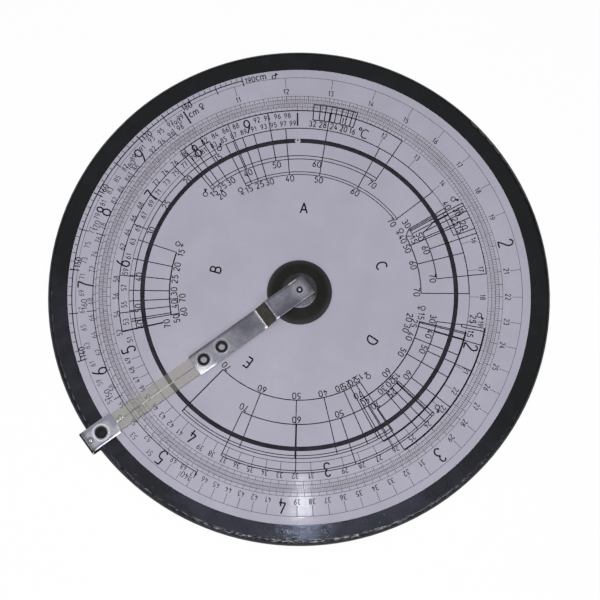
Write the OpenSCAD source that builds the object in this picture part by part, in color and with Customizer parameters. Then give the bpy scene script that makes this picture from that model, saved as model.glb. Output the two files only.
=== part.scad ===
// Circular slide rule. A black moulded base carries the fixed outer scale. The inner scale turns on a
// central stud, and a cursor arm sweeps over both scales and hooks round the rim.
// Millimetres. The origin is the centre of the underside, +Z is up and +Y is the top of the dial.

/* [Base] */
// Diameter of the base disc
base_d = 200; // [190:1:240]
// Height of the rim above the table
base_h = 6; // [5.6:0.1:8]
// Width of the bare rim outside the scales
rim_w = 7.9; // [7:0.1:9]
// Rounding of the rim's upper edge
edge_r = 2; // [0.5:0.1:2.5]
// Rounding of the rim's lower edge
low_edge_r = 0.6; // [0.2:0.1:1]
// Width of the rebate under the rim
rebate_w = 12; // [10:0.5:16]
// Height of the rebate under the rim
rebate_h = 1.7; // [1.5:0.1:2.2]

/* [Scales] */
// Width of the outer scale, from its edge to the circle where the two scales meet
ring_w = 14; // [12:0.2:18]
// Thickness of the printed sheets
sheet_t = 0.6; // [0.4:0.1:1]
// Height of the sheets above the rim
sheet_proud = 0.1; // [0:0.05:0.3]
// Thickness of the carrier under the inner sheet
carrier_t = 1.2; // [1.1:0.1:1.6]
// Angle of the outer scale's 1, clockwise from the top
outer_index = 327.8; // [0:0.1:360]
// Angle of the inner scale's 1, clockwise from the top
inner_index = 359.4; // [0:0.1:360]
// Width of an engraved graduation
line_w = 0.15; // [0.1:0.01:0.3]
// Depth of an engraved graduation
line_depth = 0.1; // [0.05:0.05:0.2]
// Length of a short graduation
tick_short = 1.5; // [1:0.1:2]
// Length of a medium graduation
tick_mid = 2.8; // [2.2:0.1:4]
// Space for the figures beyond a medium graduation
figure_h = 3.6; // [2.5:0.1:4]
// Length of the guide line beyond a figure
guide_l = 4.2; // [3:0.1:5]
// Distance of the heavy ring in from the circle where the two scales meet
band_in = 15.7; // [13:0.1:30]
// Width of the heavy ring
band_w = 1.7; // [1:0.1:2.5]

/* [Hub] */
// Diameter of the knob
knob_d = 25.8; // [24:0.2:30]
// Height of the knob above the scales
knob_h = 4; // [3.6:0.1:5]
// Height of the knob's upright edge
knob_edge_h = 1.4; // [1:0.1:1.8]
// Diameter of the spigot that centres the inner scale
spigot_d = 15; // [14:0.2:16]
// Outer diameter of the bush in the knob
bush_d = 8; // [7.5:0.1:9]
// Diameter of a knob screw
screw_d = 2; // [1.6:0.1:2.2]
// Diameter of a knob screw's countersunk head
screw_head_d = 3.6; // [3:0.1:3.8]
// Diameter of the circle of knob screws
screw_circle_d = 19.6; // [19.2:0.1:20]
// Number of knob screws
screw_count = 3; // [2:1:6]
// Diameter of the friction washer under the carrier
friction_d = 44; // [30:1:60]
// Thickness of the friction washer
friction_t = 0.3; // [0.2:0.05:0.5]

/* [Stud] */
// Diameter of the bearing part of the stud
stud_d = 5; // [4.5:0.1:6]
// Diameter of the stud's collar
collar_d = 11; // [9:0.2:11.6]
// Height of the stud's collar
collar_h = 1; // [0.6:0.1:1.4]
// Diameter of the stud's thread
thread_d = 4; // [3:0.5:4]
// Diameter of the neck that carries the arm
neck_d = 1.8; // [1.5:0.1:2.4]
// Diameter of the domed end
head_d = 2.6; // [2.6:0.1:3.6]
// Height of the domed end
head_h = 0.6; // [0.4:0.1:0.8]
// Width across the flats of the nut
nut_w = 7; // [6:0.1:8]
// Thickness of the nut
nut_t = 1.6; // [1.2:0.1:1.8]
// Diameter of the washer under the base
stud_washer_d = 12; // [9:0.5:14]
// Thickness of the washer under the base
stud_washer_t = 0.5; // [0.3:0.1:0.6]
// Diameter of the bright washer under the arm
hub_washer_d = 14; // [12:0.2:16]
// Thickness of the bright washer
hub_washer_t = 0.6; // [0.4:0.1:1]
// Diameter of the dished spring washer
spring_d = 7.4; // [6:0.2:10]
// Thickness of the spring washer's metal
spring_t = 0.25; // [0.15:0.05:0.4]
// Height of the spring washer
spring_h = 0.5; // [0.45:0.05:0.8]

/* [Cursor] */
// Angle of the cursor, clockwise from the top
cursor_angle = 234; // [0:0.5:360]
// Width of the arm
arm_w = 8.8; // [8.2:0.1:10]
// Thickness of the arm
arm_t = 1; // [0.8:0.1:1.2]
// Length of the arm behind the stud
arm_tail = 4.4; // [3.5:0.1:6]
// Distance from the stud to the arm's upper bend
bend_start = 13.6; // [12:0.1:15]
// Length of the arm's slope
bend_run = 5; // [4:0.1:7]
// Rounding at the arm's corners
arm_corner_r = 1; // [0.4:0.1:2]
// Distance from the stud to the first eyelet
eyelet_x = 37.9; // [34:0.1:42]
// Distance between the two arm eyelets
eyelet_pitch = 8.7; // [8:0.1:12]
// Metal beyond an eyelet's centre
eyelet_margin = 4.4; // [4:0.1:6]
// Width of the clear strip
strip_w = 7.8; // [7:0.1:8.2]
// Thickness of the clear strip
strip_t = 1.4; // [1.2:0.1:1.8]
// Gap between the strip and the scales
strip_lift = 0.3; // [0.2:0.05:0.6]
// Width of the hairline in the strip
hair_w = 0.16; // [0.1:0.02:0.3]
// Depth of the hairline in the strip
hair_depth = 0.12; // [0.05:0.01:0.2]
// Width of the end clip
clip_w = 9; // [8.4:0.1:11]
// Thickness of the end clip
clip_t = 0.7; // [0.5:0.05:0.9]
// How far the clip laps over the scales
clip_lap = 3.3; // [2.5:0.1:5]
// How far the clip stands out beyond the base
clip_out = 3.4; // [3.2:0.1:5]
// Distance of the clip's eyelet in from the edge of the base
clip_eyelet_in = 4.2; // [3.8:0.1:4.6]
// Rounding at the clip's inner corners
clip_corner_r = 1.2; // [0.5:0.1:2]
// Diameter of the guide pin
pin_d = 1.2; // [1:0.1:1.4]
// Diameter of the guide pin's heads
pin_head_d = 1.8; // [1.6:0.1:2.2]
// Height of the guide pin's heads
pin_head_h = 0.25; // [0.15:0.05:0.3]
// Bore of an eyelet
eyelet_bore = 2.6; // [2.2:0.1:3]
// Wall of an eyelet
eyelet_wall = 0.4; // [0.3:0.05:0.5]
// Diameter of an eyelet's rolled rim
eyelet_rim_d = 5.8; // [5.4:0.1:6.4]
// Height of an eyelet's rolled rim above the metal
eyelet_rim_h = 0.35; // [0.2:0.05:0.5]

/* [Hidden] */
$fn = 96;

// Running clearance of a bearing, on the radius
run_gap = 0.05;
// Clearance of pieces that are pressed or screwed together, on the radius
fit_gap = 0.03;
// Clearance between the faces of pieces that move past each other
face_gap = 0.1;
// Clearance of the guided end of the cursor
guide_gap = 0.3;
// Radial gap between the two scales
scale_gap = 0.2;
// Dark line round the outer scale
seat_gap = 0.2;
// Space under the nut
pocket_gap = 0.3;
// Space round the washer in the pocket under the base
pocket_side = 2;
// Thread of a knob screw in the knob beyond the upright edge
screw_reach = 0.2;
// Metal of the carrier over a countersunk head
screw_cover = 0.3;
// How far a countersunk head lies below the carrier's face
screw_sink = 0.05;
// Metal of a leaf or strip beyond an eyelet's rim
rim_margin = 0.7;
// Length of the rebate that the clip's lower leaf leaves free
leaf_margin = 3;
// Flat foot of an eyelet's rim
eyelet_foot = 0.2;
// Straight bore of an eyelet's hole below its countersink
eyelet_land = 0.1;
// Space round the neck inside the spring washer
spring_gap = 0.2;
// Flat top of the knob below the top of its crown
crown_cut = 0.6;
// Length by which a cut overshoots a face
over = 1;

r_base = base_d / 2;
r_scale = r_base - rim_w;
r_split = r_scale - ring_w;
r_ring = r_split + scale_gap / 2;
r_inner = r_split - scale_gap / 2;
r_band = r_split - band_in;
z_scale = base_h + sheet_proud;
z_seat = z_scale - sheet_t;
z_carrier = z_seat - carrier_t;
z_floor = z_carrier - friction_t;

pocket_h = stud_washer_t + nut_t + pocket_gap;
pocket_d = stud_washer_d + 2 * pocket_side;
z_collar = z_floor + collar_h;
z_knob = z_scale + knob_h;
z_shoulder = z_knob + face_gap;
z_spring = z_shoulder + hub_washer_t;
z_arm = z_spring + spring_h + face_gap;
screw_in = knob_edge_h + screw_reach;
screw_head_h = carrier_t - screw_cover;

z_strip = z_scale + strip_lift;
z_strip_top = z_strip + strip_t;
bend_r = arm_t * 1.3;
arm_end = eyelet_x + eyelet_pitch + eyelet_margin;
strip_start = eyelet_x - eyelet_margin;
clip_start = r_scale - clip_lap;
clip_end = r_base + clip_out;
clip_eyelet_x = r_base - clip_eyelet_in;
strip_end = clip_eyelet_x + eyelet_rim_d / 2 + rim_margin;
leaf_start = r_base - rebate_w + leaf_margin;
z_leaf_top = rebate_h - guide_gap;
clip_bend_r = clip_t * 1.2;
pin_x = r_base + guide_gap + pin_d / 2;
eyelet_r = eyelet_bore / 2 + eyelet_wall;
eyelet_sink = clip_t - eyelet_land;
eyelet_curl = eyelet_rim_d / 2 - 2 * eyelet_foot - eyelet_bore / 2;
eyelet_flare = eyelet_curl * 0.6;

// A flat ring between two heights
module ring(r_out, r_in, z_low, z_high) {
    translate([0, 0, z_low])
        difference() {
            cylinder(r = r_out, h = z_high - z_low);
            translate([0, 0, -over]) cylinder(r = r_in, h = z_high - z_low + 2 * over);
        }
}

// A domed end with its flat face at the origin
module dome(d, h) {
    r = (d * d / 4 + h * h) / (2 * h);
    intersection() {
        translate([0, 0, h - r]) sphere(r);
        cylinder(d = d, h = h);
    }
}

// One side of a bent strip: the path's points moved to the left by side, with arcs at the corners
function unit(v) = v / norm(v);
function left_of(v) = [-v[1], v[0]];
function turned(v, a) = [v[0] * cos(a) - v[1] * sin(a), v[0] * sin(a) + v[1] * cos(a)];
function turn_at(a, b) = atan2(a[0] * b[1] - a[1] * b[0], a * b);
function corner_point(p, a, turn, r, side, part) =
    p - a * r * tan(abs(turn) / 2) + left_of(a) * sign(turn) * r
    + turned(left_of(a), turn * part) * (side - sign(turn) * r);
function bent_side(path, r, side, steps = 8) =
    let (last = len(path) - 1)
    [
        path[0] + left_of(unit(path[1] - path[0])) * side,
        for (i = [1:last - 1])
            let (a = unit(path[i] - path[i - 1]), b = unit(path[i + 1] - path[i]))
            for (k = [0:steps])
                corner_point(path[i], a, turn_at(a, b), r, side, k / steps),
        path[last] + left_of(unit(path[last] - path[last - 1])) * side
    ];
function reversed(points) = [for (i = [len(points) - 1:-1:0]) points[i]];

// A strip of metal of width w and thickness t, bent along a path in the upright plane
module bent_strip(path, w, t, r) {
    rotate([90, 0, 0])
        translate([0, 0, -w / 2])
            linear_extrude(w)
                polygon(concat(bent_side(path, r, t / 2), reversed(bent_side(path, r, -t / 2))));
}

// A flat outline of width w from x_start to x_end, with rounded corners at one or both ends
module plan_outline(x_start, x_end, w, r_start, r_end) {
    length = x_end - x_start;
    translate([x_start + r_start, -w / 2]) square([length - r_start - r_end, w]);
    translate([x_start, r_start - w / 2]) square([length / 2, w - 2 * r_start]);
    translate([x_end - length / 2, r_end - w / 2]) square([length / 2, w - 2 * r_end]);
    for (side = [-1, 1]) {
        translate([x_start + r_start, side * (w / 2 - r_start)]) circle(r_start);
        translate([x_end - r_end, side * (w / 2 - r_end)]) circle(r_end);
    }
}

// Points along the cursor: +X runs from the stud to the rim
module along_cursor() {
    rotate(90 - cursor_angle) children();
}

// Logarithmic graduations: a value from 1 to 10 goes once round, clockwise from the index
function log_turn(v) = 360 * log(v);
tens = [for (v = [10:99]) v / 10];
halves = [for (v = tens) v + 0.05];
guided = [for (v = [11:49]) if (v % 10 != 0) v / 10];

// Engraved lines from r_start to r_end at each of the values
module graduations(values, index, r_start, r_end) {
    for (v = values)
        rotate(-index - log_turn(v))
            translate([-line_w / 2, min(r_start, r_end), z_scale - line_depth])
                cube([line_w, abs(r_end - r_start), line_depth + over]);
}

// A whole log scale that starts at the dividing circle and grows outward or inward
module log_scale(index, r_start, grow) {
    r_line = r_start + grow * line_w;
    r_guide = r_start + grow * (tick_mid + figure_h);
    graduations(tens, index, r_line, r_start + grow * tick_mid);
    graduations(halves, index, r_line, r_start + grow * tick_short);
    graduations(guided, index, r_guide, r_guide + grow * guide_l);
}

module base_disc() {
    color([0.09, 0.09, 0.1])
        difference() {
            rotate_extrude()
                difference() {
                    union() {
                        square([r_base - edge_r, base_h]);
                        square([r_base - low_edge_r, base_h - edge_r]);
                        translate([0, rebate_h + low_edge_r])
                            square([r_base, base_h - edge_r - rebate_h - low_edge_r]);
                        translate([r_base - edge_r, base_h - edge_r]) circle(edge_r);
                        translate([r_base - low_edge_r, rebate_h + low_edge_r]) circle(low_edge_r);
                    }
                    translate([r_base - rebate_w, -over]) square([rebate_w + over, rebate_h + over]);
                    translate([0, z_seat]) square([r_scale + seat_gap, sheet_t + over]);
                    translate([0, z_floor]) square([r_ring, base_h]);
                    square([pocket_d / 2, pocket_h]);
                }
            translate([0, 0, -over]) cylinder(d = thread_d + 4 * run_gap, h = base_h + 2 * over);
        }
}

module outer_scale_ring() {
    color([0.67, 0.66, 0.72])
        difference() {
            ring(r_scale, r_ring, z_seat, z_scale);
            log_scale(outer_index, r_ring, 1);
        }
}

module pivot_stud() {
    color("silver") {
        translate([0, 0, pocket_gap]) cylinder(d = thread_d, h = z_floor - pocket_gap);
        translate([0, 0, z_floor]) cylinder(d = collar_d, h = collar_h);
        translate([0, 0, z_floor]) cylinder(d = stud_d, h = z_shoulder - z_floor);
        translate([0, 0, z_floor]) cylinder(d = neck_d, h = z_arm + arm_t + face_gap - z_floor);
        translate([0, 0, z_arm + arm_t + face_gap]) dome(head_d, head_h);
    }
}

module stud_washer() {
    color("gainsboro")
        ring(stud_washer_d / 2, thread_d / 2 + fit_gap, pocket_h - stud_washer_t, pocket_h);
}

module stud_nut() {
    corner = nut_w / 2 / cos(30);
    color("silver")
        difference() {
            intersection() {
                translate([0, 0, pocket_gap]) cylinder(r = corner, h = nut_t, $fn = 6);
                translate([0, 0, pocket_gap])
                    cylinder(r1 = nut_w / 2, r2 = nut_w / 2 + nut_t * 2, h = nut_t);
            }
            cylinder(d = thread_d + 2 * fit_gap, h = pocket_h);
        }
}

module friction_washer() {
    color("saddlebrown")
        ring(friction_d / 2, collar_d / 2 + guide_gap, z_floor, z_carrier);
}

module hub_washer() {
    color("gainsboro")
        ring(hub_washer_d / 2, neck_d / 2 + fit_gap, z_shoulder, z_spring);
}

module spring_washer() {
    r_in = neck_d / 2 + spring_gap;
    r_out = spring_d / 2;
    color("lightslategray")
        rotate_extrude()
            polygon([
                [r_out, z_spring],
                [r_out, z_spring + spring_t],
                [r_in, z_spring + spring_h],
                [r_in, z_spring + spring_h - spring_t]
            ]);
}

// Puts a child at each of the knob's screws
module at_screws() {
    for (i = [0:screw_count - 1])
        rotate(i * 360 / screw_count) translate([screw_circle_d / 2, 0, 0]) children();
}

// A countersunk screw seen from below, with a clearance on its radius
module screw(gap, top) {
    translate([0, 0, z_carrier + screw_sink])
        cylinder(d1 = screw_head_d + 2 * gap, d2 = screw_d + 2 * gap, h = screw_head_h);
    translate([0, 0, z_carrier + screw_sink])
        cylinder(d = screw_d + 2 * gap, h = top - z_carrier - screw_sink);
}

module dial_carrier() {
    color("lightgray")
        difference() {
            ring(r_inner, spigot_d / 2 + fit_gap, z_carrier, z_seat);
            at_screws() screw(fit_gap, z_scale);
            at_screws() translate([0, 0, z_carrier - over])
                cylinder(d = screw_head_d + 2 * fit_gap, h = screw_sink + over);
        }
}

module inner_scale_sheet() {
    color([0.69, 0.68, 0.74])
        difference() {
            ring(r_inner, spigot_d / 2 + fit_gap, z_seat, z_scale);
            at_screws() translate([0, 0, z_seat - over])
                cylinder(d = screw_d + 2 * fit_gap, h = sheet_t + 2 * over);
            log_scale(inner_index, r_inner, -1);
            ring(r_band + band_w / 2, r_band - band_w / 2, z_scale - line_depth, z_scale + over);
        }
}

module hub_knob() {
    r_knob = knob_d / 2;
    crown = knob_h + crown_cut;
    r_crown = (r_knob * r_knob + pow(crown - knob_edge_h, 2)) / (2 * (crown - knob_edge_h));
    z_under = z_carrier + face_gap;
    color([0.1, 0.1, 0.11])
        difference() {
            union() {
                translate([0, 0, z_scale])
                    intersection() {
                        cylinder(r = r_knob, h = knob_h);
                        translate([0, 0, crown - r_crown]) sphere(r_crown);
                    }
                translate([0, 0, z_under]) cylinder(d = spigot_d, h = z_scale - z_under);
            }
            translate([0, 0, -over]) cylinder(d = bush_d + 2 * fit_gap, h = z_knob + 2 * over);
            translate([0, 0, -over])
                cylinder(d = collar_d + 2 * guide_gap, h = z_collar + face_gap + over);
            at_screws() screw(fit_gap, z_scale + screw_in + face_gap);
        }
}

module hub_bush() {
    color("goldenrod")
        ring(bush_d / 2, stud_d / 2 + run_gap, z_collar + face_gap, z_knob);
}

module knob_screws() {
    color("darkgray")
        at_screws() screw(0, z_scale + screw_in);
}

// The hole for an eyelet, countersunk from above
module eyelet_hole(x, z_top) {
    translate([x, 0, 0]) cylinder(r = eyelet_r + fit_gap, h = z_top + over);
    translate([x, 0, z_top - eyelet_sink])
        cylinder(r1 = eyelet_r + fit_gap, r2 = eyelet_rim_d / 2 - eyelet_foot + fit_gap, h = eyelet_sink);
}

// A hollow eyelet from the underside of the strip to a rolled rim above z_top
module eyelet(x, z_top) {
    r_bore = eyelet_bore / 2;
    r_rim = eyelet_rim_d / 2;
    z_rim = z_top + eyelet_rim_h;
    translate([x, 0, 0])
        rotate_extrude()
            intersection() {
                union() {
                    translate([r_bore, z_strip]) square([eyelet_wall, z_top - z_strip]);
                    translate([r_bore + eyelet_curl, z_rim - eyelet_curl]) circle(eyelet_curl);
                    translate([r_bore + eyelet_flare, z_strip + eyelet_flare]) circle(eyelet_flare);
                }
                polygon([
                    [0, z_strip],
                    [r_bore + eyelet_flare + eyelet_foot, z_strip],
                    [eyelet_r, z_strip + eyelet_flare],
                    [eyelet_r, z_top - eyelet_sink],
                    [r_rim - eyelet_foot, z_top],
                    [r_rim, z_top],
                    [r_rim, z_rim],
                    [0, z_rim]
                ]);
            }
}

module cursor_arm() {
    z_high = z_arm + arm_t / 2;
    z_low = z_strip_top + arm_t / 2;
    path = [[-arm_tail, z_high], [bend_start, z_high], [bend_start + bend_run, z_low], [arm_end, z_low]];
    color("lightsteelblue")
        along_cursor()
            difference() {
                intersection() {
                    bent_strip(path, arm_w, arm_t, bend_r);
                    linear_extrude(z_arm + arm_t + over)
                        plan_outline(-arm_tail, arm_end, arm_w, arm_corner_r, arm_corner_r);
                }
                cylinder(r = neck_d / 2 + run_gap, h = z_arm + arm_t + over);
                for (x = [eyelet_x, eyelet_x + eyelet_pitch]) eyelet_hole(x, z_strip_top + arm_t);
            }
}

module cursor_strip() {
    r_flare = eyelet_bore / 2 + eyelet_flare + eyelet_foot;
    color([0.8, 0.78, 0.66, 0.5])
        along_cursor()
            difference() {
                translate([strip_start, -strip_w / 2, z_strip])
                    cube([strip_end - strip_start, strip_w, strip_t]);
                for (x = [eyelet_x, eyelet_x + eyelet_pitch, clip_eyelet_x]) {
                    translate([x, 0, 0]) cylinder(r = eyelet_r + fit_gap, h = z_strip_top + over);
                    translate([x, 0, z_strip])
                        cylinder(r1 = r_flare + fit_gap, r2 = eyelet_r + fit_gap, h = eyelet_flare);
                }
                translate([arm_end, -hair_w / 2, z_strip - over])
                    cube([clip_start - arm_end, hair_w, hair_depth + over]);
            }
}

module inner_eyelet() {
    color("whitesmoke") along_cursor() eyelet(eyelet_x, z_strip_top + arm_t);
}

module outer_eyelet() {
    color("whitesmoke") along_cursor() eyelet(eyelet_x + eyelet_pitch, z_strip_top + arm_t);
}

module clip_eyelet() {
    color("whitesmoke") along_cursor() eyelet(clip_eyelet_x, z_strip_top + clip_t);
}

module end_clip() {
    z_high = z_strip_top + clip_t / 2;
    z_low = z_leaf_top - clip_t / 2;
    x_web = clip_end - clip_t / 2;
    path = [[clip_start, z_high], [x_web, z_high], [x_web, z_low], [leaf_start, z_low]];
    color("lightsteelblue")
        along_cursor()
            difference() {
                intersection() {
                    bent_strip(path, clip_w, clip_t, clip_bend_r);
                    linear_extrude(z_strip_top + clip_t + over)
                        plan_outline(clip_start, clip_end, clip_w, clip_corner_r, clip_corner_r / 2);
                }
                eyelet_hole_above(clip_eyelet_x, z_strip_top + clip_t);
                translate([pin_x, 0, 0]) cylinder(d = pin_d + 2 * fit_gap, h = z_strip_top + clip_t + over);
            }
}

// The clip's eyelet passes only its upper leaf
module eyelet_hole_above(x, z_top) {
    intersection() {
        eyelet_hole(x, z_top);
        translate([x - eyelet_rim_d, -eyelet_rim_d, z_strip_top - over])
            cube([2 * eyelet_rim_d, 2 * eyelet_rim_d, clip_t + 3 * over]);
    }
}

module guide_pin() {
    z_low = z_leaf_top - clip_t;
    z_high = z_strip_top + clip_t;
    color("whitesmoke")
        along_cursor()
            translate([pin_x, 0, 0]) {
                translate([0, 0, z_low]) cylinder(d = pin_d, h = z_high - z_low);
                translate([0, 0, z_high]) dome(pin_head_d, pin_head_h);
                translate([0, 0, z_low]) mirror([0, 0, 1]) dome(pin_head_d, pin_head_h);
            }
}

base_disc();
outer_scale_ring();
pivot_stud();
stud_washer();
stud_nut();
friction_washer();
hub_washer();
spring_washer();
dial_carrier();
inner_scale_sheet();
hub_knob();
hub_bush();
knob_screws();
cursor_arm();
cursor_strip();
inner_eyelet();
outer_eyelet();
end_clip();
clip_eyelet();
guide_pin();
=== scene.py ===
import math

import bpy
from mathutils import Matrix, Vector


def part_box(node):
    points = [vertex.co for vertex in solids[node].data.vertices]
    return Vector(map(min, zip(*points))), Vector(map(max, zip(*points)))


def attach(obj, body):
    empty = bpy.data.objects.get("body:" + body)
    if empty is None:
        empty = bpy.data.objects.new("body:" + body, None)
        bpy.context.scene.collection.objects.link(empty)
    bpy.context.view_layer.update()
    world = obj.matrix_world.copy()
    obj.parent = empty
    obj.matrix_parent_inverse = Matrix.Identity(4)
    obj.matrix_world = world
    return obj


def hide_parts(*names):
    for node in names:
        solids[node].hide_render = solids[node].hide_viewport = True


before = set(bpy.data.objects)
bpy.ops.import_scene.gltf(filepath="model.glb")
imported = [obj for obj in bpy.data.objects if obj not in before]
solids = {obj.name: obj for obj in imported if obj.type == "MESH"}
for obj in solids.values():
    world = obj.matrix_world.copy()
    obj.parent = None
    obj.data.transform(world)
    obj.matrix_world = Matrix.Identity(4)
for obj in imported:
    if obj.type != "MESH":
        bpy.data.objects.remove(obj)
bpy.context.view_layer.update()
mm = 0.001
slack = 1e-6       # metres, for places that count as equal
edgeAngle = math.radians(40)       # sharper bends count as edges
print("frame loaded,", len(solids), "solids")


# camera, lamps and floor

shot = {
    "lens": 121.5,
    "sensor": 36.0,
    "clip": (0.01, 50.0),
    "place": Vector((-8.4, -151.9, 796.6)) * mm,
    "aim": Vector((0.0110, 0.1849, -0.9827)),
    "right": Vector((0.99994, 0.0, 0.01116)),
    "shift": (-0.00083, 0.00083),       # half a pixel of the photo, right and down
}

lamps = {       # place in millimetres, size, power and tone
    "flash": ((11, -13, 800), 0.010, 0.046, (0.86, 0.97, 1.0)),       # small, over the dial
    "halo": ((11, -13, 810), 0.20, 0.055, (0.9, 0.95, 1.0)),       # its broad faint glow
    "key": ((-45, -130, 700), 0.08, 3.52, (1, 1, 1)),       # the main light, which shows in no polish
    "window": ((-430, -150, 640), 0.14, 0.20, (1, 1, 1)),
    "side": ((220, -320, 650), 0.22, 0.5, (1, 1, 1)),
}
sky = {"low": (0.043, 0.042, 0.045), "top": (0.40, 0.40, 0.42), "fade": (0.30, 0.92)}

floorDish = {
    "radius": 3.0, "sides": 96, "inset": 0.9, "slack": 0.01, "tone": (0.86, 0.86, 0.87), "glow": 0.93,
    "rise": ((0.18, 0.02), (0.14, 0.08), (0.06, 0.12), (0.0, 0.2)),       # each step out and up
}


def toMode(mode):
    bpy.ops.object.mode_set(mode=mode)


def deselect():
    if bpy.context.object and bpy.context.object.mode != "OBJECT":
        toMode("OBJECT")
    bpy.ops.object.select_all(action="DESELECT")


def selectAll():
    bpy.ops.mesh.select_all(action="SELECT")


def pick(piece, test, kind="VERT"):
    if piece.mode != "OBJECT":
        toMode("OBJECT")
    for item in list(piece.data.vertices) + list(piece.data.edges) + list(piece.data.polygons):
        item.select = False
    verts = piece.data.vertices
    if kind == "VERT":
        for v in verts:
            v.select = test(v.co)
    else:
        for edge in piece.data.edges:
            edge.select = all(test(verts[i].co) for i in edge.vertices)
    toMode("EDIT")
    bpy.ops.mesh.select_mode(type=kind)


# shader nodes: put adds one to the open tree, the others also give its result

work = {"tree": None}


def openTree(owner):
    owner.use_nodes = True
    work["tree"] = owner.node_tree
    owner.node_tree.nodes.clear()


def join(source, target):
    work["tree"].links.new(source, target)


def put(kind, inputs=None, **settings):
    node = work["tree"].nodes.new("ShaderNode" + kind)
    for key, value in settings.items():
        setattr(node, key, value)
    for key, value in (inputs or {}).items():
        socket = node.inputs[key]
        if isinstance(value, bpy.types.NodeSocket):
            join(value, socket)
        else:
            socket.default_value = (*value, 1) if socket.type == "RGBA" else value
    return node


def calc(operation, first, second=0.0):
    return put("Math", {0: first, 1: second}, operation=operation).outputs[0]


def times(first, second):
    return calc("MULTIPLY", first, second)


def awayFrom(value, middle):
    return calc("ABSOLUTE", calc("SUBTRACT", value, middle))


def vector(operation, first, second=(0, 0, 0)):
    return put("VectorMath", {0: first, 1: second}, operation=operation).outputs


def span(value, low, high, fromLow=0.0, fromHigh=1.0):
    inputs = {"Value": value, "From Min": fromLow, "From Max": fromHigh, "To Min": low, "To Max": high}
    return put("MapRange", inputs).outputs[0]


def rise(value, none, full):
    return span(value, 0.0, 1.0, none, full)


def fall(value, full, none):
    return span(value, 1.0, 0.0, full, none)


def blendTone(mask, first, second, way="MIX"):
    inputs = {"Factor": mask, 6: first, 7: second}
    return put("Mix", inputs, data_type="RGBA", blend_type=way).outputs[2]


def mixShader(mask, first, second):
    return put("MixShader", {0: mask, 1: first.outputs[0], 2: second.outputs[0]})


def noise(spot, scale, detail, roughness=0.5):
    inputs = {"Vector": spot, "Scale": scale, "Detail": detail, "Roughness": roughness}
    return put("TexNoise", inputs).outputs[0]


def setCamera():
    lens = bpy.data.cameras.new("camera")
    lens.lens = shot["lens"]
    lens.sensor_width = shot["sensor"]
    lens.shift_x, lens.shift_y = shot["shift"]
    lens.clip_start, lens.clip_end = shot["clip"]
    camera = bpy.data.objects.new("camera", lens)
    bpy.context.scene.collection.objects.link(camera)
    back = -shot["aim"].normalized()
    right = (shot["right"] - back * shot["right"].dot(back)).normalized()
    up = back.cross(right)
    turn = Matrix((right, up, back)).transposed().to_4x4()
    camera.matrix_world = Matrix.Translation(shot["place"]) @ turn
    bpy.context.scene.camera = camera


def setLights():
    for name, (place, size, power, tone) in lamps.items():
        lamp = bpy.data.lights.new(name, "AREA")
        lamp.shape = "DISK" if name in ("flash", "halo") else "SQUARE"
        lamp.size = size
        lamp.energy = power
        lamp.color = tone
        holder = bpy.data.objects.new(name, lamp)
        holder.location = Vector(place) * mm
        holder.rotation_euler = holder.location.to_track_quat("Z", "Y").to_euler()
        holder.visible_camera = False
        holder.visible_glossy = holder.visible_transmission = name != "key"
        bpy.context.scene.collection.objects.link(holder)

    world = bpy.data.worlds.new("studio")
    openTree(world)
    height = put("SeparateXYZ", {0: put("TexCoord").outputs["Generated"]}).outputs["Z"]
    fade = put("MapRange", {"Value": height, "From Min": sky["fade"][0], "From Max": sky["fade"][1]},
               interpolation_type="SMOOTHSTEP")
    glow = put("Background", {"Color": blendTone(fade.outputs[0], sky["low"], sky["top"])})
    put("OutputWorld", {"Surface": glow.outputs[0]})
    bpy.context.scene.world = world
    bpy.context.scene.view_settings.view_transform = "Standard"


def setFloor():
    reach = floorDish["radius"]
    deselect()
    bpy.ops.mesh.primitive_circle_add(vertices=floorDish["sides"], radius=reach, fill_type="NGON")
    floor = bpy.context.object
    floor.name = "floor"
    toMode("EDIT")
    selectAll()
    bpy.ops.mesh.inset(thickness=floorDish["inset"], use_boundary=True)
    pick(floor, lambda co: co.length > reach - floorDish["slack"], "EDGE")
    for out, up in floorDish["rise"]:
        bpy.ops.mesh.extrude_edges_move(TRANSFORM_OT_translate={"value": (0, 0, up)})
        grow = (reach + out) / reach
        bpy.ops.transform.resize(value=(grow, grow, 1), center_override=(0, 0, 0))
        reach += out
    selectAll()
    bpy.ops.mesh.normals_make_consistent(inside=True)
    toMode("OBJECT")
    if floor.data.polygons[0].normal.z < 0:
        floor.data.flip_normals()
    bpy.ops.object.shade_smooth_by_angle(angle=edgeAngle)

    paper = bpy.data.materials.new("floorPaper")
    openTree(paper)
    rays = put("LightPath").outputs
    seen = calc("MAXIMUM", rays["Is Camera Ray"], rays["Is Glossy Ray"])
    seen = calc("MAXIMUM", seen, rays["Is Transmission Ray"])
    matt = put("BsdfDiffuse", {"Color": floorDish["tone"]})
    white = put("Emission", {"Color": (1, 1, 1), "Strength": 1.0})
    seenPaper = mixShader(times(seen, floorDish["glow"]), matt, white)
    below = put("NewGeometry").outputs["Backfacing"]       # nothing shows from below
    oneSided = mixShader(below, seenPaper, put("BsdfTransparent"))
    put("OutputMaterial", {"Surface": oneSided.outputs[0]})
    floor.data.materials.append(paper)


setCamera()
setLights()
setFloor()
print("camera, lamps and floor set")


# shared finishes, sizes in millimetres

grainSpan = (0.3, 0.7)       # the range of the fine noise
scratchSpan = (0.56, 0.74)       # the part of the line noise that shows as scratches
dialRadius = {"meet": 78.1, "heavyRing": 62.35}       # where the two scales meet, and the heavy ring

pinLow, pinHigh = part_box("guide_pin")
pinPlace = (pinLow + pinHigh) / 2
cursorTurn = math.atan2(pinPlace.y, pinPlace.x)       # the way the cursor points at rest


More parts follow.
